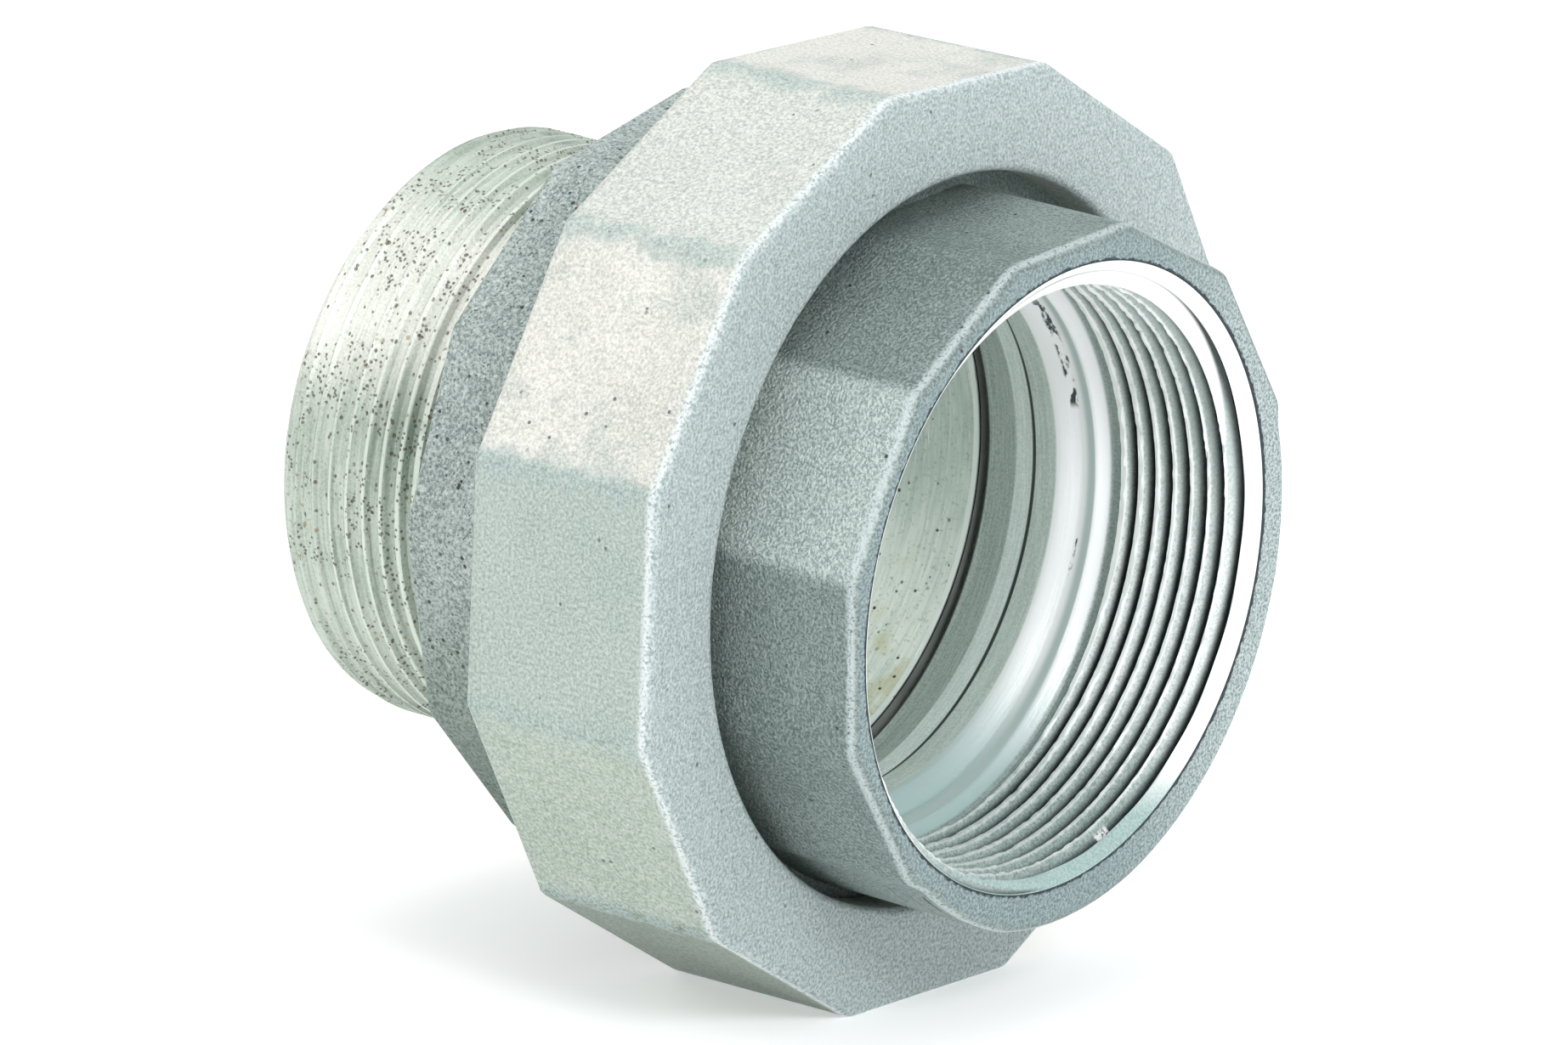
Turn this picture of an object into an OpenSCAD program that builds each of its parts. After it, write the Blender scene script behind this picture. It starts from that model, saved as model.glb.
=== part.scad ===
// Conduit union of trade size 3: a male half, a female half and the nut that draws them together.
// Millimetres. The axis is X, from the male end to the female mouth, Z is up, and the origin is midway.
// A station is a distance from the female mouth, measured along the axis towards the male end.

/* [Pipe thread] */
// Outer diameter of the conduit that the fitting joins
pipe_d = 88.9; // [80:0.1:100]
// Pitch of the tapered pipe thread
pipe_pitch = 3.175; // [2.5:0.025:3.6]
// Taper of the pipe thread, as change of diameter over length
pipe_taper = 0.0625; // [0:0.0025:0.08]
// Flat at the bottom of each groove
root_flat = 0.1; // [0.05:0.05:0.3]

/* [Female half] */
// How much smaller than the conduit the hole is bored for the thread
tapped_less = 5.7; // [5:0.1:6.5]
// How much wider than the conduit the countersink is at the mouth
mouth_more = 2.3; // [1.5:0.1:4]
// Depth of the countersink at the mouth
mouth_depth = 5.2; // [2:0.1:7]
// Number of thread grooves in the mouth
female_grooves = 7; // [4:1:8]
// Distance from the mouth to the middle of the first groove
female_lead = 1.9; // [1.8:0.1:3]
// Distance from the last groove to the relief behind the thread
last_land = 2.4; // [2:0.1:3]
// Width of the relief behind the thread
relief_w = 3.5; // [2:0.1:4]
// Depth of the relief below the bored hole
relief_depth = 1.6; // [0.5:0.1:2]
// Step in from the bored hole to the stop behind the relief
stop_step = 0.7; // [0.3:0.1:1.5]
// Length of the stop
stop_l = 2.9; // [1:0.1:6]
// Step in from the stop to the throat, the narrowest and smoothest part of the way through
throat_step = 1.2; // [0.6:0.1:2]
// Length of the rounded slope that leads to the throat
slope_l = 3.5; // [2:0.1:8]
// Length of the throat
throat_l = 4.2; // [2:0.1:6]
// Step out behind the throat
recess_step = 0.5; // [0.2:0.1:1]
// Flare from the recess to the spigot's open end
spigot_flare = 1.9; // [1:0.1:3]
// Wall between the bored hole and the flats of the twelve-sided body
body_wall = 6.9; // [6:0.1:10]
// How far the body stands out of the nut
body_reach = 22; // [14:1:40]
// How far the body is turned from the nut's flats
body_turn = 5; // [0:1:29]
// How far the shoulder reaches out behind the nut's lip
shoulder_lap = 4.7; // [3:0.1:8]
// Thickness of the shoulder that the nut pulls on
shoulder_t = 8; // [6:0.5:12]
// Wall between the throat and the outside of the spigot
spigot_wall = 8.2; // [6:0.1:10]
// Length of the spigot that plugs into the male half
spigot_l = 10.3; // [7:0.1:12]

/* [Union nut] */
// Gap between the body's corners and the round opening in the nut's lip
opening_gap = 3.1; // [1:0.1:5]
// Wall between the union thread and the nut's flats
nut_wall = 7.8; // [5:0.1:15]
// Length of the nut
nut_l = 33; // [32:0.5:50]
// Thickness of the nut's front lip
lip_t = 8; // [5:0.5:12]

/* [Male half] */
// Step in from the union thread to the flats of the twelve-sided collar
collar_step = 4.45; // [3:0.05:8]
// Length of the collar behind the nut
collar_l = 21; // [12:0.5:40]
// How far the collar is turned from the nut's flats
collar_turn = 14; // [0:1:29]
// How much smaller than the conduit the outside pipe thread is turned
male_less = 1.3; // [0:0.1:3]
// Length from the collar to the threaded end
male_l = 35; // [20:0.5:45]
// Wall under the crests of the outside pipe thread
barrel_wall = 4.8; // [4:0.1:8]
// Chamfer on the threaded end
male_chamfer = 2.2; // [1:0.1:2.8]
// How much the wall at the bottom of the socket stands in from the spigot's bore
socket_lip = 0.3; // [0.1:0.1:1]

/* [Edges and fits] */
// Chamfer along the nut's edges
nut_edge = 1.6; // [0.5:0.1:3]
// Chamfer along the edges of the body and the collar
cast_edge = 1.2; // [0.5:0.1:2.2]
// Chamfer on the turned edges
turned_edge = 0.8; // [0.3:0.1:1]
// Step of the small cone where the threaded barrel meets the collar
barrel_foot = 1.5; // [0.5:0.1:3]
// Run-in at the start of the union thread
union_lead = 1.5; // [0.5:0.1:3]
// Gap around the shoulder inside the nut
shoulder_gap = 1.2; // [0.8:0.1:2]
// Radial clearance of the spigot in its socket
socket_fit = 0.08; // [0.05:0.01:0.2]
// Radial clearance of the union thread
thread_fit = 0.1; // [0.05:0.01:0.2]
// Gap between the spigot's end and the bottom of its socket
socket_gap = 1.2; // [0.5:0.1:2]
// Gap between the end of the union thread and the nut's back face
back_gap = 0.6; // [0.2:0.1:2]

/* [Hidden] */
$fn = 96;
SIDES = 12;
HALF_STEP = 180 / SIDES;
FLANK = 30;
EPS = 0.5;

// Height of the pipe thread at its open end, for its pitch
pipe_depth = 0.82 * pipe_pitch;

// Radii of the way through, from the mouth to the male end
tapped_r = (pipe_d - tapped_less) / 2;
mouth_r = (pipe_d + mouth_more) / 2;
relief_r = tapped_r + relief_depth;
stop_r = tapped_r - stop_step;
throat_r = stop_r - throat_step;
recess_r = throat_r + recess_step;
spigot_bore_r = recess_r + spigot_flare;
socket_bore_r = spigot_bore_r - socket_lip;
male_r = (pipe_d - male_less) / 2;
bore_r = male_r - barrel_wall;

// Radii and widths outside, from the body to the nut
body_af = 2 * (tapped_r + body_wall);
opening_r = body_af / 2 / cos(HALF_STEP) + opening_gap;
shoulder_r = opening_r + shoulder_lap;
spigot_r = throat_r + spigot_wall;
union_r = shoulder_r + shoulder_gap;
nut_af = 2 * (union_r + nut_wall);
collar_af = 2 * (union_r - collar_step);

// Stations along the axis
nut_front = body_reach;
shoulder_front = nut_front + lip_t;
seat = shoulder_front + shoulder_t;
spigot_end = seat + spigot_l;
socket_end = spigot_end + socket_gap;
nut_back = nut_front + nut_l;
collar_front = nut_back - back_gap;
collar_back = nut_back + collar_l;
male_end = collar_back + male_l;

// Stations inside the female half
relief_start = female_lead + (female_grooves - 1) * pipe_pitch + last_land;
stop_start = relief_start + relief_w;
slope_start = stop_start + stop_l;
throat_start = slope_start + slope_l;
recess_start = throat_start + throat_l;
recess_mid = recess_start + (spigot_end - recess_start) * 0.35;
recess_out = recess_start + (spigot_end - recess_start) * 0.75;

// Grooves on the threaded end, as many as its length takes
male_first = male_end - male_chamfer - 0.75 * pipe_pitch;
male_grooves = floor((male_first - collar_back - barrel_foot) / pipe_pitch);

// Four points of one groove between flanks of 60 degrees, at station s, from a crest to a root radius
function groove(s, crest, root) =
    let (half = abs(crest - root) * tan(FLANK) + root_flat / 2)
    [[crest, s - half], [root, s - root_flat / 2], [root, s + root_flat / 2], [crest, s + half]];

// Lays what is drawn along Z on the union's axis, with Z = 0 at the mouth
module along() {
    translate([male_end / 2, 0, 0]) rotate([0, -90, 0]) children();
}

// A solid of revolution about the axis, from points of radius and station
module turned(points) {
    along() rotate_extrude() polygon(points);
}

// A twelve-sided bar between two stations, where six flat bars with chamfered edges cross
module faceted_bar(across, from, to, turn, edge) {
    half = across / 2;
    section = [[half, from + edge], [half, to - edge], [half - edge, to], [edge - half, to],
               [-half, to - edge], [-half, from + edge], [edge - half, from], [half - edge, from]];
    along() rotate([0, 0, -turn])
        intersection_for(side = [0 : SIDES / 2 - 1])
            rotate([0, 0, side * 2 * HALF_STEP])
                rotate([90, 0, 0])
                    linear_extrude(height = across * 1.2, center = true) polygon(section);
}

// The way through the female half: countersink, tapered thread, relief, stop, throat and recess
module female_bore() {
    grooves = [for (k = [0 : female_grooves - 1])
        let (s = female_lead + k * pipe_pitch)
        each groove(s, tapped_r, tapped_r + pipe_depth - s * pipe_taper / 2)];
    turned(concat(
        [[0, -EPS], [tapped_r, -EPS]],
        grooves,
        [[tapped_r, relief_start],
         [relief_r, relief_start + relief_depth / 2],
         [relief_r, stop_start],
         [stop_r + turned_edge / 2, stop_start],
         [stop_r, stop_start + turned_edge / 2],
         [stop_r, slope_start],
         [stop_r - throat_step * 0.65, slope_start + slope_l * 0.45],
         [throat_r, throat_start],
         [throat_r, recess_start],
         [recess_r, recess_start],
         [recess_r, recess_mid],
         [spigot_bore_r, recess_out],
         [spigot_bore_r, spigot_end + EPS],
         [0, spigot_end + EPS]]));
    slope = (mouth_r - tapped_r) / mouth_depth;
    turned([[0, -EPS], [mouth_r + slope * EPS, -EPS], [tapped_r, mouth_depth], [0, mouth_depth]]);
}

// Cast body with the tapered mouth, the shoulder inside the nut and the machined spigot, one piece
module female_half() {
    color("#a9b3b1") difference() {
        union() {
            faceted_bar(body_af, 0, shoulder_front + 1, body_turn, cast_edge);
            turned([[0, shoulder_front],
                    [shoulder_r - turned_edge, shoulder_front],
                    [shoulder_r, shoulder_front + turned_edge],
                    [shoulder_r, seat - turned_edge],
                    [shoulder_r - turned_edge, seat],
                    [0, seat]]);
            turned([[0, seat - 1],
                    [spigot_r, seat - 1],
                    [spigot_r, spigot_end - turned_edge],
                    [spigot_r - turned_edge, spigot_end],
                    [0, spigot_end]]);
        }
        female_bore();
    }
}

// Cast nut: twelve flats, a front lip with a round opening, and the room for the union thread
module union_nut() {
    thread_r = union_r + thread_fit;
    color("#cfd3cd") difference() {
        faceted_bar(nut_af, nut_front, nut_back, 0, nut_edge);
        turned([[0, nut_front - EPS],
                [opening_r + turned_edge + EPS, nut_front - EPS],
                [opening_r, nut_front + turned_edge],
                [opening_r, shoulder_front],
                [thread_r, shoulder_front],
                [thread_r, nut_back - union_lead],
                [thread_r + union_lead + EPS, nut_back + EPS],
                [0, nut_back + EPS]]);
    }
}

// Outside of the threaded end, from the collar's back face to the chamfered end
module male_barrel() {
    grooves = [for (k = [male_grooves - 1 : -1 : 0])
        let (s = male_first - k * pipe_pitch)
        each groove(s, male_r, male_r - pipe_depth + (male_end - s) * pipe_taper / 2)];
    turned(concat(
        [[0, collar_back - 1],
         [male_r + barrel_foot, collar_back - 1],
         [male_r + barrel_foot, collar_back],
         [male_r, collar_back + barrel_foot * 0.7]],
        grooves,
        [[male_r, male_end - male_chamfer],
         [male_r - male_chamfer, male_end],
         [0, male_end]]));
}

// The way through the male half: socket for the spigot, a funnel and the plain bore
module male_bore() {
    socket_r = spigot_r + socket_fit;
    turned([[0, seat - EPS],
            [socket_r + turned_edge + EPS, seat - EPS],
            [socket_r, seat + turned_edge],
            [socket_r, socket_end],
            [socket_bore_r + turned_edge / 2, socket_end],
            [socket_bore_r, socket_end + turned_edge / 2],
            [bore_r, collar_back + turned_edge],
            [bore_r, male_end - turned_edge],
            [bore_r + turned_edge + EPS, male_end + EPS],
            [0, male_end + EPS]]);
}

// Cast body with the union thread, the twelve-sided collar and the tapered male thread, one piece
module male_half() {
    color("#b9beb6") difference() {
        union() {
            turned([[0, seat],
                    [union_r - union_lead, seat],
                    [union_r, seat + union_lead],
                    [union_r, collar_front],
                    [0, collar_front]]);
            faceted_bar(collar_af, collar_front - cast_edge - 1, collar_back, collar_turn, cast_edge);
            male_barrel();
        }
        male_bore();
    }
}

male_half();
female_half();
union_nut();
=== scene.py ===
import math

import bmesh
import bpy
from mathutils import Matrix, Vector, noise


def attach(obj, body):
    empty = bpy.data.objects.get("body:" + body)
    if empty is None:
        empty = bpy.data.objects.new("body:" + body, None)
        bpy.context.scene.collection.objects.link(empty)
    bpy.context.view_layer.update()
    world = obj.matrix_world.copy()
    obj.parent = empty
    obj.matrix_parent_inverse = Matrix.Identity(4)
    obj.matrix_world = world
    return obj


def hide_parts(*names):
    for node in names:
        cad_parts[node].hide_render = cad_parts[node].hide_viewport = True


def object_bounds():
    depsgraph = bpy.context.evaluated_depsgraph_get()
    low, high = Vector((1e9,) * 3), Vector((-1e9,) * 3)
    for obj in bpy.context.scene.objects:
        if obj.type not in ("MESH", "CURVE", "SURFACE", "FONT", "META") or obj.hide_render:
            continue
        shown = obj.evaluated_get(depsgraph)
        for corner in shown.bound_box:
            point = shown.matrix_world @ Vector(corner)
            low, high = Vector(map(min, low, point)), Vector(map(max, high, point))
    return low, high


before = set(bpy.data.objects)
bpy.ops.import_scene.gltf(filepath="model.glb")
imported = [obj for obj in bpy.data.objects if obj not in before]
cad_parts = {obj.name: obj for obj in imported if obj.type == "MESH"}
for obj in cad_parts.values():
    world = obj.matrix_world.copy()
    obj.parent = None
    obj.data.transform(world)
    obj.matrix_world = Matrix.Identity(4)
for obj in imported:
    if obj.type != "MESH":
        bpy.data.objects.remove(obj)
cad_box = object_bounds()

# The view of the photo: from the female side and a little above, from far off through a long lens,
# with the camera tipped slightly. The union lies on a flat of its nut on a plain white table, in a
# white room with broad soft lights at the upper left, overhead and at the upper right.
azimuth = math.radians(38.051)
elevation = math.radians(14.78)
tip = math.radians(2.444)
distance = 1.8
aside = -0.00252
above = 0.003661
backward = Vector((math.sin(azimuth) * math.cos(elevation),
                   -math.cos(azimuth) * math.cos(elevation),
                   math.sin(elevation)))
level = Vector((math.cos(azimuth), math.sin(azimuth), 0))
upright = level.cross(-backward)
right = level * math.cos(tip) + upright * math.sin(tip)
up = upright * math.cos(tip) - level * math.sin(tip)
camera = bpy.data.objects.new("camera", bpy.data.cameras.new("camera"))
camera.data.sensor_width = 36
camera.data.lens = 288.1
camera.data.clip_end = 20
turn = Matrix((right, up, backward)).transposed().to_4x4()
camera.matrix_world = Matrix.Translation(backward * distance - right * aside - up * above) @ turn
bpy.context.scene.collection.objects.link(camera)
bpy.context.scene.camera = camera
bpy.context.scene.view_settings.view_transform = "Standard"

table = bmesh.new()
bmesh.ops.create_grid(table, x_segments=1, y_segments=1, size=4)
bmesh.ops.translate(table, verts=table.verts, vec=(0, 0, cad_box[0][2]))
table_mesh = bpy.data.meshes.new("table")
table.to_mesh(table_mesh)
table.free()
table_top = bpy.data.objects.new("table", table_mesh)
bpy.context.scene.collection.objects.link(table_top)
white = bpy.data.materials.new("white table")
white.use_nodes = True
coat = white.node_tree.nodes["Principled BSDF"]
coat.inputs["Base Color"].default_value = (0.8, 0.8, 0.8, 1)
coat.inputs["Roughness"].default_value = 0.9
coat.inputs["Specular IOR Level"].default_value = 0.1
coat.inputs["Emission Color"].default_value = (1, 1, 1, 1)
coat.inputs["Emission Strength"].default_value = 0.36
table_mesh.materials.append(white)

room = bpy.data.worlds.new("white room")
room.use_nodes = True
room.node_tree.nodes["Background"].inputs["Color"].default_value = (0.95, 0.98, 1, 1)
room.node_tree.nodes["Background"].inputs["Strength"].default_value = 0.9
bpy.context.scene.world = room


def soft_light(name, place, width, power, tint):
    lamp = bpy.data.lights.new(name, "AREA")
    lamp.shape = "DISK"
    lamp.size = width
    lamp.energy = power
    lamp.color = tint
    light = bpy.data.objects.new(name, lamp)
    light.location = place
    light.rotation_euler = Vector(place).to_track_quat("Z", "Y").to_euler()
    bpy.context.scene.collection.objects.link(light)


soft_light("upper left", (-1.1, -1.1, 1.15), 0.7, 4.2, (1, 0.985, 0.95))
soft_light("overhead", (-0.3, 0.1, 1.6), 1.2, 6, (1, 0.99, 0.97))
soft_light("upper right", (1.5, -0.6, 1.1), 0.6, 15, (0.97, 0.99, 1))

# Male half: one iron casting, zinc plated. It has the tapered thread for a conduit hub or coupling,
# the twelve-sided collar for the wrench, the straight union thread that the nut runs on, and the
# socket for the other half's spigot. The threads and the socket are turned, the rest is as cast.
AROUND = 144
PITCH = 3.175
TAPER = 1 / 32
SHORT_OF_FACE = 0.02
UNION_MIDDLE = 9.5
LEAN = math.radians(1.05)
CRISP = math.radians(35)
FLANK = math.tan(math.radians(30))
MALE_END = 111.0
AS_CAST, TURNED, THREADED, WAY_THROUGH = range(4)


def station_of(vert):
    """How far back from the mouth's rim a point lies, in millimetres."""
    return MALE_END / 2 - vert.co.x


def radius_of(vert):
    return math.hypot(vert.co.y, vert.co.z)


def set_radius(vert, radius):
    stretch = radius / radius_of(vert)
    vert.co.y *= stretch
    vert.co.z *= stretch


def open_loop(bm, station):
    """The edges of the open rim that lies at a station."""
    return [e for e in bm.edges if e.is_boundary
            and all(abs(station_of(v) - station) < 0.01 for v in e.verts)]


def spun_thread(bm, first, last, root, outward, flat, points, steps=AROUND):
    """A sharp right-hand thread between two stations, a ribbon around the axis that is cut square."""
    half = PITCH / 2
    crest = root + outward * (half - flat / 2) / FLANK
    shape = [(0, root), (flat / 2, root)]
    shape += [(flat / 2 + (half - flat / 2) * k / points, root + (crest - root) * k / points)
              for k in range(1, points + 1)]
    shape += [(PITCH - x, r) for x, r in reversed(shape[:-1])]
    turns = math.ceil((last - first) / PITCH) + 2
    ahead = 1.5037 * PITCH
    start = MALE_END / 2 - last - ahead
    line = [bm.verts.new((start + x, 0, r)) for x, r in shape]
    edges = [bm.edges.new(pair) for pair in zip(line, line[1:])]
    bmesh.ops.spin(bm, geom=line + edges, axis=(1, 0, 0), dvec=(PITCH / steps, 0, 0),
                   angle=math.tau, steps=steps)
    one_turn = bm.verts[:] + bm.edges[:] + bm.faces[:]
    for turn in range(1, turns):
        more = bmesh.ops.duplicate(bm, geom=one_turn)["geom"]
        more = [v for v in more if isinstance(v, bmesh.types.BMVert)]
        bmesh.ops.translate(bm, verts=more, vec=(turn * PITCH, 0, 0))
    bmesh.ops.remove_doubles(bm, verts=bm.verts, dist=0.01)
    for station, side in ((first, 1), (last, -1)):
        bmesh.ops.bisect_plane(bm, geom=bm.verts[:] + bm.edges[:] + bm.faces[:], dist=1e-4,
                               plane_co=(MALE_END / 2 - station, 0, 0), plane_no=(side, 0, 0),
                               clear_outer=True)
        rim = list(dict.fromkeys(v for e in open_loop(bm, station) for v in e.verts))
        bmesh.ops.remove_doubles(bm, verts=rim, dist=0.3)


def turn_on(bm, rim, profile, finish):
    """Carries an open rim on through points of station and radius, as a lathe tool would cut it."""
    for station, radius in profile:
        made = bmesh.ops.extrude_edge_only(bm, edges=rim)["geom"]
        for vert in made:
            if isinstance(vert, bmesh.types.BMVert):
                vert.co.x = MALE_END / 2 - station
                set_radius(vert, radius)
        for face in made:
            if isinstance(face, bmesh.types.BMFace):
                face.material_index = finish
        rim = [e for e in made if isinstance(e, bmesh.types.BMEdge) and e.is_boundary]
    return rim


def cast_bar(bm, across, front, back, turned, round_over, lands, finish):
    """A twelve-sided cast bar between two stations, with rounded corners and a rim at each land."""
    before = set(bm.faces)
    corner = across / 2 / math.cos(math.radians(15))
    ring = bmesh.ops.create_circle(bm, segments=12, radius=corner)["verts"]
    stand = Matrix.Rotation(math.radians(90), 4, "Y")
    bmesh.ops.rotate(bm, verts=ring, matrix=Matrix.Rotation(math.radians(15), 3, "Z"))
    bmesh.ops.transform(bm, verts=ring, matrix=stand)
    bmesh.ops.rotate(bm, verts=ring, matrix=Matrix.Rotation(math.radians(turned), 3, "X"))
    bmesh.ops.translate(bm, verts=ring, vec=(MALE_END / 2 - front, 0, 0))
    rim = [e for e in bm.edges if all(v in ring for v in e.verts)]
    bar = bmesh.ops.extrude_edge_only(bm, edges=rim)["geom"]
    far = [v for v in bar if isinstance(v, bmesh.types.BMVert)]
    bmesh.ops.translate(bm, verts=far, vec=(front - back, 0, 0))
    far_rim = [e for e in bm.edges if all(v in far for v in e.verts)]
    for edges, land in zip((rim, far_rim), lands):
        if land:
            for vert in bmesh.ops.extrude_edge_only(bm, edges=edges)["geom"]:
                if isinstance(vert, bmesh.types.BMVert):
                    set_radius(vert, corner - land)
    sides = [f for f in bm.faces if f not in before]
    ridges = [e for e in bm.edges if len(e.link_faces) == 2
              and all(f in sides for f in e.link_faces) and e.calc_face_angle() > 0.1]
    bmesh.ops.bevel(bm, geom=ridges, offset=round_over, offset_type="OFFSET", segments=4,
                    profile=0.5, affect="EDGES", material=-1)
    for face in bm.faces:
        if face not in before:
            face.material_index = finish


def faced(bm, station):
    """Closes the flat face between the two open rims at a station."""
    bmesh.ops.triangle_fill(bm, edges=open_loop(bm, station), use_beauty=True)


def finished(bm, name, body, materials, lean=0):
    """The casting as an object in metres, closed, with its turned edges kept crisp. With the nut slack
    the two halves hang a little low at the mouth, so they lean about the middle of the union thread."""
    bmesh.ops.remove_doubles(bm, verts=bm.verts, dist=1e-4)
    bmesh.ops.rotate(bm, verts=bm.verts, cent=(UNION_MIDDLE, 0, 0),
                     matrix=Matrix.Rotation(lean, 3, "Y"))
    bmesh.ops.scale(bm, verts=bm.verts, vec=(0.001, 0.001, 0.001))
    bmesh.ops.recalc_face_normals(bm, faces=bm.faces)
    for face in bm.faces:
        face.smooth = True
    for edge in bm.edges:
        edge.smooth = len(edge.link_faces) == 2 and edge.calc_face_angle() < CRISP
    mesh = bpy.data.meshes.new(name)
    bm.to_mesh(mesh)
    bm.free()
    for material in materials:
        mesh.materials.append(material)
    piece = bpy.data.objects.new(name, mesh)
    bpy.context.scene.collection.objects.link(piece)
    shading = piece.modifiers.new("even shading", "WEIGHTED_NORMAL")
    shading.keep_sharp = True
    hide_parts(body)
    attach(piece, body)


def unevenness(vert, size, seed):
    return noise.noise(Vector((vert.co.x, vert.co.y, vert.co.z)) / size + Vector((seed, 0, 0)))


MALE_CREST = 43.8
MALE_DEPTH = 2.6
MALE_CHAMFER = 2.2
GROOVE_BY_COLLAR = 1.5
GROOVE_AT_END = 0.55
BORE = 39.0
COLLAR_ACROSS = 109.5
COLLAR_TURN = 14
COLLAR_FRONT = 54.4
COLLAR_BACK = 76.0
MALE_FOOT = COLLAR_BACK + 1.05
SEAT = 38.0
UNION_CREST = 59.9
UNION_ROOT = 58.4
UNION_START = SEAT + 0.3
UNION_STOP = COLLAR_FRONT - 0.4
SOCKET = 47.98
SOCKET_END = 49.5

male = bmesh.new()
spun_thread(male, MALE_FOOT, MALE_END - SHORT_OF_FACE, MALE_CREST - MALE_DEPTH, 1, 0.1, 6)
for vert in male.verts:
    station = station_of(vert)
    radius = radius_of(vert) + (MALE_END - station) * TAPER
    radius = min(radius, MALE_CREST + 0.05 * unevenness(vert, 2.5, 3))
    filling = min((station - COLLAR_BACK) / 22, 1)
    groove = GROOVE_BY_COLLAR + (GROOVE_AT_END - GROOVE_BY_COLLAR) * filling
    radius = max(radius, MALE_CREST - groove)
    vanish = (station - MALE_FOOT) / 3.5
    if vanish < 1:
        radius = MALE_CREST - (MALE_CREST - radius) * vanish
    radius = min(radius, MALE_CREST - MALE_CHAMFER + (MALE_END - station))
    set_radius(vert, radius)
for face in male.faces:
    face.material_index = THREADED
rim = turn_on(male, open_loop(male, MALE_END - SHORT_OF_FACE), [(MALE_END, 41.3), (MALE_END, 39.8)],
              THREADED)
rim = turn_on(male, rim, [(MALE_END - 0.8, BORE), (103, BORE), (94, BORE), (85, BORE), (77, BORE),
                          (63, 40.4), (50.3, 41.8), (49.7, 42), (SOCKET_END, 42.4)], WAY_THROUGH)
turn_on(male, rim, [(SOCKET_END, SOCKET), (38.9, SOCKET), (SEAT, SOCKET + 0.9),
                    (SEAT, UNION_ROOT - 1.5)], TURNED)
turn_on(male, open_loop(male, MALE_FOOT), [(COLLAR_BACK + 0.5, 44.1), (COLLAR_BACK + 0.1, 44.8),
                                           (COLLAR_BACK, 46)], AS_CAST)
cast_bar(male, COLLAR_ACROSS, COLLAR_FRONT, COLLAR_BACK, COLLAR_TURN, 1.5, (0, 4), AS_CAST)
union = bmesh.new()
spun_thread(union, UNION_START, UNION_STOP, UNION_ROOT, 1, 0.4, 3)
for vert in union.verts:
    lead = UNION_ROOT - 0.8 + 1.3 * (station_of(vert) - UNION_START)
    tail = UNION_ROOT + 0.4 * (UNION_STOP - station_of(vert))
    set_radius(vert, min(radius_of(vert), UNION_CREST, max(lead, UNION_ROOT - 0.8), tail + 0.01))
for face in union.faces:
    face.material_index = TURNED
turn_on(union, open_loop(union, UNION_START), [(SEAT, UNION_ROOT - 1.1)], TURNED)
turn_on(union, open_loop(union, UNION_STOP), [(COLLAR_FRONT, UNION_ROOT)], TURNED)
union_mesh = bpy.data.meshes.new("union thread")
union.to_mesh(union_mesh)
union.free()
male.from_mesh(union_mesh)
bpy.data.meshes.remove(union_mesh)
for station in (SEAT, COLLAR_FRONT, COLLAR_BACK):
    faced(male, station)


class Finish:
    """A socket of a material, so that sums of sockets read as plain expressions."""

    def __init__(self, tree, socket):
        self.tree = tree
        self.socket = socket

    def node(self, kind, settings, inputs, output=0):
        made = self.tree.nodes.new(kind)
        for name, value in settings.items():
            setattr(made, name, value)
        for name, value in inputs.items():
            if isinstance(value, Finish):
                self.tree.links.new(value.socket, made.inputs[name])
            else:
                made.inputs[name].default_value = value
        return Finish(self.tree, made.outputs[output])

    def maths(self, operation, first, second):
        return self.node("ShaderNodeMath", {"operation": operation}, {0: first, 1: second})

    def angle_from(self, other):
        """The angle in degrees of this value against another, as a side against a height."""
        return self.maths("ARCTAN2", self, other) * math.degrees(1)

    def part(self, axis):
        """The x, y or z of a place."""
        return self.node("ShaderNodeSeparateXYZ", {}, {0: self}, axis)

    def moved(self, by):
        return self.node("ShaderNodeVectorMath", {"operation": "ADD"}, {0: self, 1: by})

    def from_axis(self):
        """How far a place lies from the axis of the conduit."""
        across = self.node("ShaderNodeVectorMath", {"operation": "MULTIPLY"}, {0: self, 1: (0, 1, 1)})
        return across.node("ShaderNodeVectorMath", {"operation": "LENGTH"}, {0: across}, 1)

    def __add__(self, other):
        return self.maths("ADD", self, other)

    def __radd__(self, other):
        return self.maths("ADD", other, self)

    def __sub__(self, other):
        return self.maths("SUBTRACT", self, other)

    def __rsub__(self, other):
        return self.maths("SUBTRACT", other, self)

    def __mul__(self, other):
        return self.maths("MULTIPLY", self, other)

    def __rmul__(self, other):
        return self.maths("MULTIPLY", other, self)

    def at_least(self, floor):
        return self.maths("MAXIMUM", self, floor)

    def between(self, low, high):
        """0 where the value is low, 1 where it is high, and smooth from one to the other."""
        return self.node("ShaderNodeMapRange", {"interpolation_type": "SMOOTHSTEP"},
                         {"Value": self, "From Min": low, "From Max": high})

    def tinted(self, first, second):
        """The first colour where the value is 0, the second where it is 1."""
        return self.node("ShaderNodeMix", {"data_type": "RGBA"},
                         {"Factor": self, 6: first, 7: second}, 2)

    def shades(self, low, high, first, second):
        """From the first tone where the value is low to the second where it is high."""
        return self.between(low, high).tinted(tone(*first), tone(*second))


def tone(red, green, blue):
    """A colour as it shows on screen, from 0 to 255."""
    return tuple((v / 255 / 12.92) if v <= 10 else ((v / 255 + 0.055) / 1.055) ** 2.4
                 for v in (red, green, blue)) + (1,)


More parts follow.
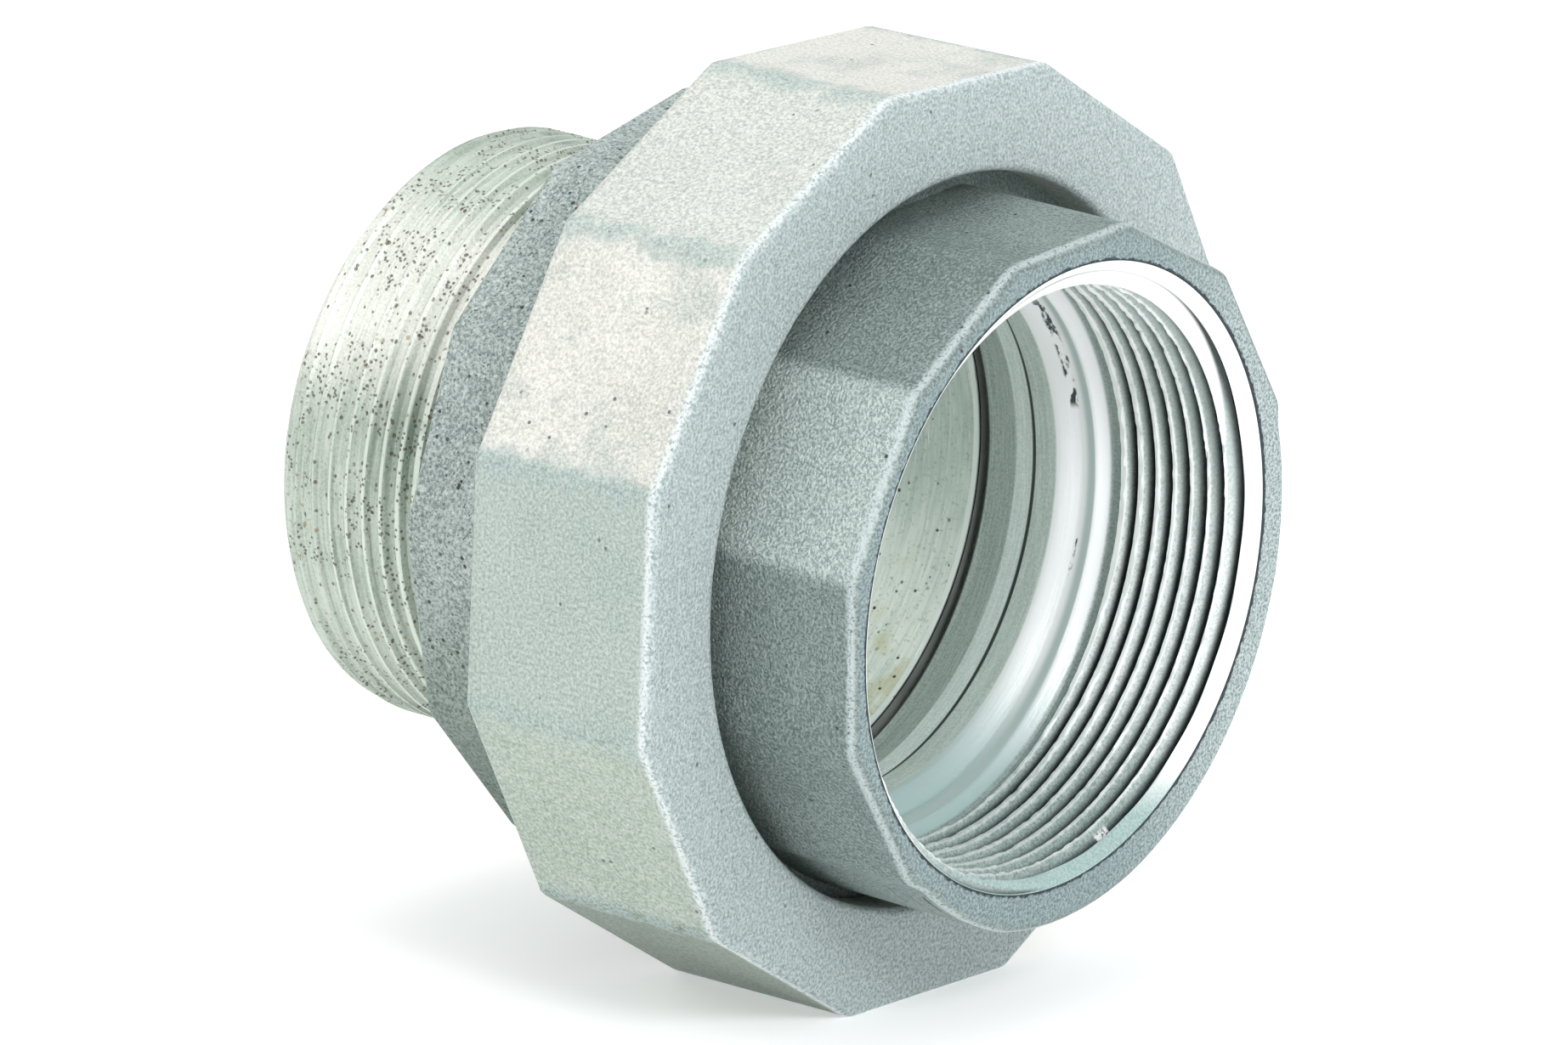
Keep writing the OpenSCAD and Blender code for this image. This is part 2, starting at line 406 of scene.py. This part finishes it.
def new_finish(name, metallic, lean=0):
    """A new material, its place on the piece, its station and its radius, all in millimetres. A finish
    of the two halves is worked out on the piece as cast, so its place is turned back by the lean."""
    material = bpy.data.materials.new(name)
    material.use_nodes = True
    tree = material.node_tree
    shader = tree.nodes["Principled BSDF"]
    shader.inputs["Metallic"].default_value = metallic
    place = Finish(tree, tree.nodes.new("ShaderNodeTexCoord").outputs["Object"])
    place = place.node("ShaderNodeVectorMath", {"operation": "SCALE"}, {0: place, "Scale": 1000})
    if lean:
        pivot = Vector((UNION_MIDDLE, 0, 0))
        shift = pivot - Matrix.Rotation(-lean, 3, "Y") @ pivot
        place = place.node("ShaderNodeMapping", {}, {"Vector": place, "Location": shift,
                                                     "Rotation": (0, -lean, 0)})
    return material, shader, place, MALE_END / 2 - place.part(0), place.from_axis()


def grain(place, per_mm, detail=2, stretch=(1, 1, 1), rough=0.5):
    """Noise with so many grains to the millimetre."""
    place = place.node("ShaderNodeMapping", {}, {"Vector": place, "Scale": stretch})
    return place.node("ShaderNodeTexNoise", {}, {"Vector": place, "Scale": per_mm, "Detail": detail,
                                                 "Roughness": rough})


def specks(place, per_mm, size, stretch=(1, 1, 1)):
    """1 on small scattered specks, 0 elsewhere."""
    place = place.node("ShaderNodeMapping", {}, {"Vector": place, "Scale": stretch})
    cells = place.node("ShaderNodeTexVoronoi", {}, {"Vector": place, "Scale": per_mm})
    return 1 - cells.between(size * 0.6, size)


def on_flat(place, degrees, reach):
    """1 on the flat that faces so many degrees from the top towards the left, soft past its edges."""
    facing = (0, -math.sin(math.radians(degrees)), math.cos(math.radians(degrees)))
    height = place.node("ShaderNodeVectorMath", {"operation": "DOT_PRODUCT"}, {0: place, 1: facing}, 1)
    return height.between(reach - 1.2, reach - 0.1)


def worn_in(shader, colour, roughness, height, depth):
    """Puts the finished colour, roughness and relief on the material, the relief's depth in mm."""
    tree = colour.tree
    bump = colour.node("ShaderNodeBump", {}, {"Height": height, "Distance": depth / 1000,
                                              "Strength": 1.0})
    tree.links.new(colour.socket, shader.inputs["Base Color"])
    tree.links.new(roughness.socket, shader.inputs["Roughness"])
    tree.links.new(bump.socket, shader.inputs["Normal"])


# Pitted cast skin of the collar: matt grey zinc, with small dark pits and sand grain.
collar_skin, shader, place, station, radius = new_finish("pitted cast skin", 0.55, LEAN)
sand = grain(place, 1.9, 3, rough=0.7)
cloud = grain(place, 0.07, 3)
pits = specks(place, 0.55, 0.2) * grain(place, 0.16, 1).between(0.42, 0.6)
fine_pits = specks(place, 1.3, 0.24) * grain(place, 0.3, 1).between(0.4, 0.55)
dark = pits + fine_pits * 0.7
# The collar is painted darker towards its underside: painted shade.
painted_shade_underside = 1 - place.part(2).between(-45, 10)
salt = grain(place, 1.5, 2).between(0.6, 0.66)
colour = (sand * 0.85 + cloud * 0.15).shades(0.36, 0.62, (122, 134, 130), (188, 198, 194))
colour = (salt * 0.5).tinted(colour, tone(222, 228, 225))
colour = (painted_shade_underside * 0.97).tinted(colour, sand.shades(0.34, 0.66, (74, 92, 82), (128, 142, 133)))
colour = dark.tinted(colour, tone(70, 74, 72))
worn_in(shader, colour, 0.42 + sand * 0.2, sand * 1.5 - dark * 1.6, 0.22)

# Turned conduit thread, bright off-white plating with dark and brown specks along the crests, and painted
# light and shade.
thread_metal, shader, place, station, radius = new_finish("turned plated thread", 0.6, LEAN)
lathe_lines = grain(place, 2.6, 2, (1, 0.05, 0.05))
cloud = grain(place, 0.09, 3, (1, 0.5, 0.5))
fine = grain(place, 2.4, 3, rough=0.7)
dark = specks(place, 1.3, 0.36) * grain(place, 0.14, 3).between(0.46, 0.56)
dark = dark + specks(place, 0.8, 0.2, (1, 0.7, 0.7)) * grain(place, 0.5, 2).between(0.4, 0.5)
dark = dark * 0.85
rust = specks(place, 0.3, 0.14) * grain(place, 0.9, 2).between(0.35, 0.5)
above = MALE_CREST - radius
height = place.part(2)
# A band across the thread's upper part is painted lighter: painted light.
painted_light_band = height.between(8, 24) * (1 - height.between(32, 42))
mottle = cloud * 0.5 + fine * 0.5
colour = mottle.shades(0.35, 0.65, (146, 160, 148), (198, 206, 194))
# Darker towards the roots is painted shade, and the lighter crest line is a painted highlight.
colour = (above.between(0.1, 1.4) * 0.5).tinted(colour, tone(132, 148, 134))
crest = 1 - above.between(0, 0.07)
colour = crest.tinted(colour, tone(206, 214, 203))
streak = lathe_lines.between(0.35, 0.65) * station.between(84, 96)
colour = (streak * 0.5).tinted(colour, tone(214, 220, 210))
colour = (painted_light_band * 0.75).tinted(colour, mottle.shades(0.35, 0.6, (214, 216, 206), (246, 242, 236)))
colour = dark.tinted(colour, tone(104, 96, 84))
colour = (rust * 0.6).tinted(colour, tone(150, 118, 80))
worn_in(shader, colour, 0.36 + lathe_lines * 0.2, lathe_lines * 0.4 + fine * 0.8 - dark, 0.12)

# The cast way through: dull grey-green, with specks, tool scratches around it and a faint stain.
bore_skin, shader, place, station, radius = new_finish("dull cast bore", 0.5, LEAN)
around = grain(place, 1.2, 3, (1.6, 0.12, 0.12))
cloud = grain(place, 0.08, 3)
dark = specks(place, 0.5, 0.17) * grain(place, 0.2, 1).between(0.42, 0.58)
colour = (cloud * 0.5 + around * 0.5).shades(0.3, 0.7, (182, 196, 190), (216, 226, 219))
# The bore is painted lighter towards the bottom, painted light; the stain keeps to the same lower part.
painted_light_and_stain_below = 1 - place.part(2).between(-30, 2)
scores = grain(place, 2.2, 2, (1.5, 0.05, 0.05)).between(0.62, 0.68)
scores = scores * grain(place, 0.15, 2).between(0.45, 0.6)
colour = (painted_light_and_stain_below * 0.8).tinted(colour, around.shades(0.3, 0.7, (222, 230, 220), (250, 252, 244)))
stain = grain(place, 0.12, 3).between(0.52, 0.66) * painted_light_and_stain_below
colour = (stain * 0.5).tinted(colour, tone(206, 198, 150))
colour = (scores * 0.9).tinted(colour, tone(246, 250, 246))
soot = grain(place, 1.6, 3, rough=0.7).between(0.56, 0.66)
colour = (soot * 0.4).tinted(colour, tone(130, 142, 134))
colour = dark.tinted(colour, tone(84, 80, 70))
# A thin ring by the joint is painted bright: a painted highlight on its edge.
painted_edge_highlight = station.between(SOCKET_END, 49.8) * (1 - station.between(50.2, 50.6))
colour = painted_edge_highlight.tinted(colour, tone(236, 242, 238))
joint = 1 - station.between(49.55, 49.7)
colour = joint.tinted(colour, tone(24, 30, 30))
worn_in(shader, colour, 0.45 + around * 0.2, around + scores - dark, 0.1)

# Turned faces that the closed union hides: plain bright zinc with fine lathe lines.
turned_metal, shader, place, station, radius = new_finish("turned zinc", 0.7, LEAN)
lathe_lines = grain(place, 3, 2, (1, 0.04, 0.04))
cloud = grain(place, 0.1, 2)
colour = cloud.shades(0.3, 0.7, (176, 184, 180), (206, 210, 206))
worn_in(shader, colour, 0.3 + lathe_lines * 0.2, lathe_lines, 0.03)

finished(male, "male_casting", "male_half",
         [collar_skin, turned_metal, thread_metal, bore_skin], LEAN)

# Female half: one iron casting, zinc plated, with a fine sand-cast skin on its twelve-sided body.
# The mouth is bored, tapped and countersunk, with a relief behind the thread and a smooth throat.
# Inside the nut it has the shoulder that the nut pulls on, and the spigot for the other socket.
FEMALE_CREST = 42.6
FEMALE_DEPTH = 2.6
TAPPED_END = 24.15
THREAD_TURN = math.radians(114)
RELIEF = 44.2
ASIDE = 1.0
DROP = 1.0
COUNTERSINK = 45.6
SLOPE = 1.2
DRIFT = 1.2
DRIFT_OVER = 24
CENTRED_FROM = 27.2
CENTRED_BY = 33.0
THROAT_DROP = 0.5
THROAT = 39.7
RECESS = 40.2
FLARE = 42.1
BODY_ACROSS = 98.2
BODY_TURN = 5
BODY_ROUND = 1.6
BODY_BACK = 30.0
SHOULDER = 58.0
SPIGOT = 47.9
SPIGOT_END = 48.3
EASED = 0.8

# The tap ran to one side of the bore and a little low, so the thread is placed within the cone.
female = bmesh.new()
spun_thread(female, SHORT_OF_FACE, TAPPED_END, FEMALE_CREST + FEMALE_DEPTH, -1, 0.1, 7, 360)
bmesh.ops.rotate(female, verts=female.verts, matrix=Matrix.Rotation(THREAD_TURN, 3, "X"))
for vert in female.verts:
    station = station_of(vert)
    radius = radius_of(vert) - station * TAPER
    torn = 0.3 * unevenness(vert, 1.7, 9) + 0.22 * unevenness(vert, 0.8, 5)
    radius = max(radius, FEMALE_CREST + torn)
    if station > 22.4:
        radius = min(radius, RELIEF)
    set_radius(vert, max(radius, RELIEF - 2 * (TAPPED_END - station)))
    vert.co.y += DRIFT * min(station / DRIFT_OVER, 1) - ASIDE
    vert.co.z -= DROP
    reach = max(radius_of(vert), COUNTERSINK - SLOPE * station)
    set_radius(vert, min(reach, COUNTERSINK + max(station - 1, 0)))
for face in female.faces:
    face.material_index = THREADED
turn_on(female, open_loop(female, SHORT_OF_FACE), [(0, COUNTERSINK + 0.1)], THREADED)
bmesh.ops.translate(female, verts=female.verts, vec=(0, ASIDE - DRIFT, DROP))
rim = turn_on(female, open_loop(female, TAPPED_END), [(25.5, RELIEF), (27, 42.5), (27.15, 42.1),
                                                      (27.4, 41.95), (29.75, 41.9)], THREADED)
rim = turn_on(female, rim, [(30.3, 41.6), (31.0, 41.0), (31.8, 40.4), (32.6, 39.9), (33.25, THROAT),
                            (35.3, THROAT), (37.35, THROAT), (37.45, RECESS), (41.2, RECESS),
                            (45.5, FLARE), (47.9, FLARE), (SPIGOT_END, 42.5)], THREADED)
turn_on(female, rim, [(SPIGOT_END, SPIGOT - EASED), (SPIGOT_END - EASED, SPIGOT), (38.2, SPIGOT),
                      (SEAT, SPIGOT + 0.4), (SEAT, SHOULDER - EASED), (SEAT - EASED, SHOULDER),
                      (BODY_BACK + EASED, SHOULDER), (BODY_BACK, SHOULDER - EASED)], TURNED)
for vert in female.verts:
    deep = min(max((station_of(vert) - CENTRED_FROM) / (CENTRED_BY - CENTRED_FROM), 0), 1)
    near = 1 - deep * deep * (3 - 2 * deep)
    if radius_of(vert) < (48 if station_of(vert) < BODY_BACK else 45):
        vert.co.y -= ASIDE * near
        vert.co.z -= THROAT_DROP + (DROP - THROAT_DROP) * near
bore_verts = set(female.verts)
cast_bar(female, BODY_ACROSS, 0, BODY_BACK, BODY_TURN, BODY_ROUND, (1.9, 0), AS_CAST)
bmesh.ops.subdivide_edges(female, edges=[e for e in female.edges if not bore_verts & set(e.verts)
                                         and abs(e.verts[0].co.x - e.verts[1].co.x) < 0.01
                                         and e.calc_length() > 15], cuts=7, use_grid_fill=True)

# The casting is fuller and rounder on its lower right than its flats are. Bearings are in degrees
# from the top towards the right.
FULL_FROM, FULL_PEAK, FULL_TO = 58, 68, 222
for vert in female.verts:
    if vert not in bore_verts:
        bearing = math.degrees(math.atan2(vert.co.y, vert.co.z)) % 360
        past = bearing - FULL_PEAK
        full = 50.0 + past * (0.019 if past > 0 else 0.1)
        full = min(full, 51.7, 52.0 - 0.08 * (bearing - 187))
        if FULL_FROM < bearing < FULL_TO and radius_of(vert) > 46.5:
            lip = min(max(station_of(vert) / BODY_ROUND, 0), 1)
            full -= BODY_ROUND * (1 - math.sqrt(lip * (2 - lip)))
            set_radius(vert, max(radius_of(vert), full))
faced(female, 0)
faced(female, BODY_BACK)

# Fine sand-cast skin of the body: darker bluish grey-green, even grain, with a painted highlight along
# the front rim.
body_skin, shader, place, station, radius = new_finish("fine sand-cast skin", 0.7, LEAN)
sand = grain(place, 2.2, 3, rough=0.65)
coarse = grain(place, 0.9, 2)
cloud = grain(place, 0.05, 3)
pits = specks(place, 0.28, 0.1) * grain(place, 0.2, 1).between(0.5, 0.6)
# A painted highlight along the rounded front rim.
painted_rim_highlight = station.between(0.2, 0.9) * (1 - station.between(1.3, 2.2)) * sand.between(0.3, 0.5)
colour = (sand * 0.8 + cloud * 0.2).shades(0.36, 0.66, (112, 127, 124), (170, 182, 177))
# The flat that faces 65 degrees from the top towards the left is painted lighter: painted light.
painted_lit_flat = on_flat(place, 65, BODY_ACROSS / 2)
colour = (painted_lit_flat * 0.8).tinted(colour, sand.shades(0.36, 0.64, (166, 180, 176), (224, 233, 228)))
colour = (painted_rim_highlight * 0.8).tinted(colour, tone(206, 217, 217))
front = 1 - station.between(0.02, 0.3)
# The right side of the front face is painted lighter: painted light.
painted_light_right = place.part(1).between(10, 46)
cast_face = sand.shades(0.34, 0.66, (112, 130, 132), (170, 185, 185))
painted_lit_face = sand.shades(0.36, 0.62, (132, 148, 150), (206, 216, 214))
colour = front.tinted(colour, painted_light_right.tinted(cast_face, painted_lit_face))
off_axis = place.moved((0, DRIFT, 0)).from_axis()
burr = (off_axis + grain(place, 0.9, 3) * 1.2 - painted_light_right * 0.35).between(46.55, 46.85)
colour = (front * (1 - burr)).tinted(colour, tone(48, 64, 68))
colour = pits.tinted(colour, tone(84, 90, 90))
worn_in(shader, colour, 0.36 + sand * 0.2, sand * 1.6 + coarse * 0.5 - pits, 0.34)

# Tapped and countersunk mouth: bright cut metal, with painted shade in the roots and a duller throat.
mouth_metal, shader, place, station, radius = new_finish("bright cut mouth", 0.1, LEAN)
lathe_lines = grain(place, 3, 2, (1, 0.04, 0.04))
height = place.part(2)
drift = (1 - station * (1 / DRIFT_OVER)).at_least(0) * DRIFT
near = 1 - station.between(CENTRED_FROM, CENTRED_BY)
lowered = near * (DROP - THROAT_DROP) + THROAT_DROP
aside = place.node("ShaderNodeCombineXYZ", {}, {"Y": drift + near * ASIDE, "Z": lowered})
radius = place.moved(aside).from_axis()
off_axis = place.moved((0, DRIFT, 0)).from_axis()
relief = station.between(23.4, 24.0) * (1 - station.between(25.5, 25.9))
smooth = station.between(25.7, 26.1)
land = station.between(27.1, 27.7) * (1 - station.between(28.3, 29.7))
throat = station.between(33.3, 33.9)
# A painted shadow line at the step into the recess.
painted_step_shadow = station.between(37.2, 37.4) * (1 - station.between(38.15, 38.4))
recess = station.between(37.4, 37.6)
flare = station.between(41.0, 41.7)
ragged = grain(place, 1.1, 4, rough=0.65)
fine = grain(place, 2.6, 3, rough=0.7)
# By height the mouth is painted in light and shade: darker on its upper part and lower down, and the
# countersink white above and grey below.
low = 1 - height.between(-40, -31)
shaded = 1 - height.between(-42, -22)
high = height.between(-14, 16)
depth = radius - FEMALE_CREST
# The thread is painted darker towards its roots and near black in them, painted shade, and bright on its
# crests, a painted highlight.
crest = 1 - depth.between(0.1, ragged * 0.8)
painted_root_shade = (depth + ragged * 0.5 + station * TAPER).between(1.3, 2.5)
cut = 1 - station.between(23, 23.6)
beyond = off_axis + station * SLOPE - COUNTERSINK
cone = beyond.between(-0.15, -0.03) * (1 - beyond.between(0.1, 0.3))
bearing = place.part(1).angle_from(height)
smear = grain(place, 1.1, 3, (1, 0.35, 0.35))
scuff = bearing.between(40, 46) * (1 - bearing.between(72, 74)) * station.between(29.8, 30.1)
scuff = scuff * (1 - station.between(30.9, 31.3)) * smear.between(0.46, 0.56)
dots = bearing.between(100, 101) * (1 - bearing.between(110, 111)) * station.between(29.6, 29.7)
dots = dots * (1 - station.between(30.3, 30.4)) * smear.between(0.5, 0.58)
nick = bearing.between(158, 158.6) * (1 - bearing.between(161.6, 162.2)) * station.between(1.9, 2.3)
nick = nick * (1 - station.between(3.4, 3.8)) * ragged.between(0.42, 0.5)
mottle = fine * 0.6 + ragged * 0.4
colour = mottle.shades(0.36, 0.64, (196, 208, 204), (250, 251, 249))
colour = (high * 0.6).tinted(colour, tone(150, 168, 162))
colour = (shaded * 0.85).tinted(colour, mottle.shades(0.36, 0.64, (104, 126, 122), (168, 186, 182)))
colour = (depth.between(0.5, 2.3) * 0.6).tinted(colour, tone(96, 112, 108))
colour = (painted_root_shade * cut).tinted(colour, tone(34, 44, 42))
colour = (crest * (1 - shaded * 0.6)).tinted(colour, tone(250, 252, 250))
painted_lit_and_shaded_cone = low.tinted(tone(252, 252, 250), fine.shades(0.3, 0.7, (140, 166, 162), (176, 196, 192)))
colour = cone.tinted(colour, painted_lit_and_shaded_cone)
colour = relief.tinted(colour, fine.shades(0.3, 0.7, (140, 156, 152), (178, 190, 186)))
# The smooth wall behind the relief is painted white where it is not shaded, a painted reflection, and
# grey lower down.
colour = smooth.tinted(colour, shaded.tinted(tone(254, 254, 254), tone(176, 198, 196)))
colour = land.tinted(colour, tone(186, 200, 198))
dull = (fine * 0.6 + lathe_lines * 0.4).between(0.35, 0.65)
colour = throat.tinted(colour, dull.tinted(tone(168, 182, 176), tone(200, 212, 206)))
colour = recess.tinted(colour, dull.tinted(tone(190, 204, 200), tone(222, 230, 226)))
colour = flare.tinted(colour, dull.tinted(tone(128, 144, 138), tone(172, 184, 178)))
colour = painted_step_shadow.tinted(colour, tone(38, 48, 46))
colour = (scuff + dots).tinted(colour, tone(58, 70, 70))
colour = nick.tinted(colour, tone(255, 255, 255))
joint = station.between(47.5, 47.8)
colour = joint.tinted(colour, tone(24, 30, 30))
worn_in(shader, colour, 0.3 + lathe_lines * 0.16 + throat * 0.1, lathe_lines + ragged, 0.05)

finished(female, "female_casting", "female_half",
         [body_skin, turned_metal, mouth_metal], LEAN)

# Union nut: a cast iron ring with twelve flats, zinc plated. Its front lip has a round opening and
# holds the female half's shoulder; the union thread inside runs on the male half's and pulls the
# two together. The flats are lighter and worn smooth by the wrench, the front face is rougher.
NUT_FRONT = 22.0
NUT_BACK = 55.0
NUT_ACROSS = 134.02
NUT_FLAT = 67.0
OPENING = 53.31
LIP_BACK = 30.0
NUT_CREST = 58.6
NUT_ROOT = 60.1
NUT_THREAD_FRONT = LIP_BACK + 2.5
NUT_THREAD_BACK = NUT_BACK - 1.2

nut = bmesh.new()
spun_thread(nut, NUT_THREAD_FRONT, NUT_THREAD_BACK, NUT_ROOT, -1, 0.4, 3)
for vert in nut.verts:
    lead = NUT_ROOT - 1.2 * (NUT_THREAD_BACK - station_of(vert))
    tail = NUT_ROOT - 0.6 * (station_of(vert) - NUT_THREAD_FRONT)
    set_radius(vert, max(radius_of(vert), NUT_CREST, lead, tail))
for face in nut.faces:
    face.material_index = TURNED
rim = turn_on(nut, open_loop(nut, NUT_THREAD_FRONT), [(LIP_BACK, NUT_ROOT), (LIP_BACK, OPENING + 0.3),
                                                      (LIP_BACK - 0.3, OPENING)], TURNED)
turn_on(nut, rim, [(NUT_FRONT + 1.3, OPENING), (NUT_FRONT + 0.6, OPENING + 0.15),
                   (NUT_FRONT + 0.15, OPENING + 0.6), (NUT_FRONT, OPENING + 1.3)], AS_CAST)
turn_on(nut, open_loop(nut, NUT_THREAD_BACK), [(NUT_BACK, NUT_ROOT + 1.2)], TURNED)
cast_bar(nut, NUT_ACROSS, NUT_FRONT, NUT_BACK, 0, 1.1, (4, 4), AS_CAST)
faced(nut, NUT_FRONT)
faced(nut, NUT_BACK)

nut_skin, shader, place, station, radius = new_finish("plated nut casting", 0.3)
sand = grain(place, 2.0, 3, rough=0.7)
coarse = grain(place, 0.6, 3)
cloud = grain(place, 0.05, 3)
fine_scores = grain(place, 1.5, 2, (0.15, 2.2, 2.2)).between(0.62, 0.7)
corner = (radius + grain(place, 0.25, 4, rough=0.7) * 2.4).between(69.9, 70.4)
patches = grain(place, 0.08, 4, rough=0.65).between(0.5, 0.66)
past_face = station - NUT_FRONT
face_on = 1 - (past_face + sand * 1.6).between(1, 3.4)
pits = specks(place, 0.3, 0.1) * grain(place, 0.15, 1).between(0.5, 0.62)
colour = (sand * 0.8 + cloud * 0.2).shades(0.28, 0.66, (176, 176, 168), (231, 229, 222))
colour = (patches * 0.6).tinted(colour, sand.shades(0.35, 0.65, (150, 164, 154), (200, 206, 198)))
# The flats that face 30, 90, 120 and 150 degrees from the top towards the left are painted darker, the
# lowest darkest: painted shade.
for bearing, share, even, first, second in ((30, 0.7, 0.66, (160, 168, 162), (216, 219, 211)),
                                            (90, 0.8, 0.7, (128, 146, 138), (184, 197, 190)),
                                            (120, 0.8, 0.7, (128, 146, 132), (184, 196, 184)),
                                            (150, 0.85, 0.7, (80, 98, 88), (134, 150, 139))):
    flat = on_flat(place, bearing, NUT_FLAT)
    colour = (flat * share).tinted(colour, sand.shades(0.3, even, first, second))
face_colour = (sand * 0.85 + coarse * 0.15).shades(0.33, 0.66, (146, 160, 160), (212, 221, 221))
colour = (fine_scores * 0.3).tinted(colour, tone(150, 158, 152))
# A painted highlight along the rounded front edge.
edge = (1 - past_face.between(1.1, 2.2)) * past_face.between(0.3, 0.8) * sand.between(0.35, 0.5)
colour = (corner * 0.65).tinted(colour, sand.shades(0.3, 0.7, (136, 152, 150), (190, 202, 198)))
# The front face is painted darker towards the bottom: painted shade.
painted_shade_under = 1 - place.part(2).between(-60, -10)
face_colour = (painted_shade_under * 0.5).tinted(face_colour, sand.shades(0.35, 0.62, (120, 136, 137), (180, 192, 192)))
colour = (face_on * 0.95).tinted(colour, face_colour)
colour = (edge * 0.7).tinted(colour, tone(232, 236, 236))
colour = pits.tinted(colour, tone(112, 120, 118))
rough = sand * (face_on + 0.7) + coarse * face_on * 0.5 - pits
worn_in(shader, colour, 0.48 + sand * 0.16, rough, 0.26)

finished(nut, "nut_casting", "union_nut", [nut_skin, turned_metal])
